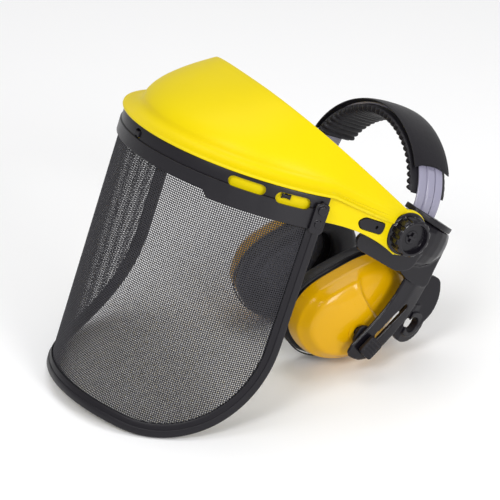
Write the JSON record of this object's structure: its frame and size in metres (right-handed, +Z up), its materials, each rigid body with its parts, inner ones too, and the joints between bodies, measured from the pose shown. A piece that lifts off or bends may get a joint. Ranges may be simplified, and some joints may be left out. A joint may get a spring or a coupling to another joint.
{
  "type": "face shield with ear muffs",
  "caption": "Brow guard with a drop-down woven mesh visor, clamp-knob pivots, sprung headband and two ear cups on sliding arms.",
  "frame": {"origin": "middle of the object's box in plan, on the table under the visor's lower corners and the ear cups", "axes": "+Z up, -Y the way the wearer faces, +X the wearer's left"},
  "size_m": [0.2352, 0.319, 0.2386],
  "materials": {
    "brow_yellow": "moulded, satin",
    "cup_amber": "moulded, glossy",
    "black_plastic": "moulded, fine grain",
    "black_gloss": "moulded, semi-gloss",
    "black_rubber": "extruded, matt",
    "woven_mesh": "fine black-coated weave",
    "zinc_steel": "zinc plated",
    "grey_plastic": "moulded, satin",
    "cushion_skin": "soft black vinyl",
    "grey_foam": "open-cell foam"
  },
  "bodies": {
    "headband": {"spring_band": "grey_plastic", "band_cover": "cushion_skin", "band_pad": "cushion_skin"},
    "left_arm": {"arm_left": "black_gloss", "arm_collar_left": "black_plastic", "lug_plate_left": "black_plastic", "knob_bolt_left": "zinc_steel"},
    "right_arm": {"arm_right": "black_gloss", "arm_collar_right": "black_plastic", "lug_plate_right": "black_plastic", "knob_bolt_right": "zinc_steel"},
    "brow_unit": {"brow_guard": "brow_yellow", "visor_carrier": "black_plastic", "visor_mesh": "woven_mesh", "edge_trim": "black_rubber", "carrier_stud_left": "black_plastic", "carrier_stud_right": "black_plastic", "front_clip": "black_plastic", "trim_clip_left": "black_gloss", "trim_clip_right": "black_gloss", "latch_insert_left": "black_plastic", "latch_insert_right": "black_plastic"},
    "left_knob": {"knob_left": "black_gloss"},
    "right_knob": {"knob_right": "black_gloss"},
    "left_slider": {"slider_left": "black_plastic"},
    "right_slider": {"slider_right": "black_plastic"},
    "left_cup": {"cup_shell_left": "cup_amber", "cup_back_plate_left": "black_plastic", "ear_cushion_left": "cushion_skin", "ear_foam_left": "grey_foam"},
    "right_cup": {"cup_shell_right": "cup_amber", "cup_back_plate_right": "black_plastic", "ear_cushion_right": "cushion_skin", "ear_foam_right": "grey_foam"}
  },
  "joints": [
    {"name": "left_arm_extend", "type": "slide", "parent": "headband", "child": "left_arm", "axis": [0, -0.4226, -0.9063], "range_m": [-0.005, 0.018]},
    {"name": "right_arm_extend", "type": "slide", "parent": "headband", "child": "right_arm", "axis": [0, -0.4226, -0.9063], "range_m": [-0.005, 0.018]},
    {"name": "visor_tilt", "type": "hinge", "parent": "left_arm", "child": "brow_unit", "pos_m": [0, 0.08387, 0.12876], "axis": [-1, 0, 0], "range_deg": [-20, 70]},
    {"name": "left_knob_turn", "type": "hinge", "parent": "left_arm", "child": "left_knob", "pos_m": [0.108, 0.08387, 0.12876], "axis": [1, 0, 0], "continuous": true},
    {"name": "right_knob_turn", "type": "hinge", "parent": "right_arm", "child": "right_knob", "pos_m": [-0.108, 0.08387, 0.12876], "axis": [-1, 0, 0], "continuous": true},
    {"name": "left_cup_height", "type": "slide", "parent": "left_arm", "child": "left_slider", "axis": [0, 0.7861, 0.6181], "range_m": [0, 0.013]},
    {"name": "right_cup_height", "type": "slide", "parent": "right_arm", "child": "right_slider", "axis": [0, 0.7861, 0.6181], "range_m": [0, 0.013]},
    {"name": "left_cup_swivel", "type": "hinge", "parent": "left_slider", "child": "left_cup", "pos_m": [0.0683, 0.06457, 0.03456], "axis": [0, 0.5446, 0.8387], "range_deg": [-6, 6]},
    {"name": "right_cup_swivel", "type": "hinge", "parent": "right_slider", "child": "right_cup", "pos_m": [-0.0683, 0.06457, 0.03456], "axis": [0, -0.5446, -0.8387], "range_deg": [-6, 6]}
  ],
  "couplings": [
    {"joint": "right_arm_extend", "follows": "left_arm_extend", "ratio": 1}
  ]
}
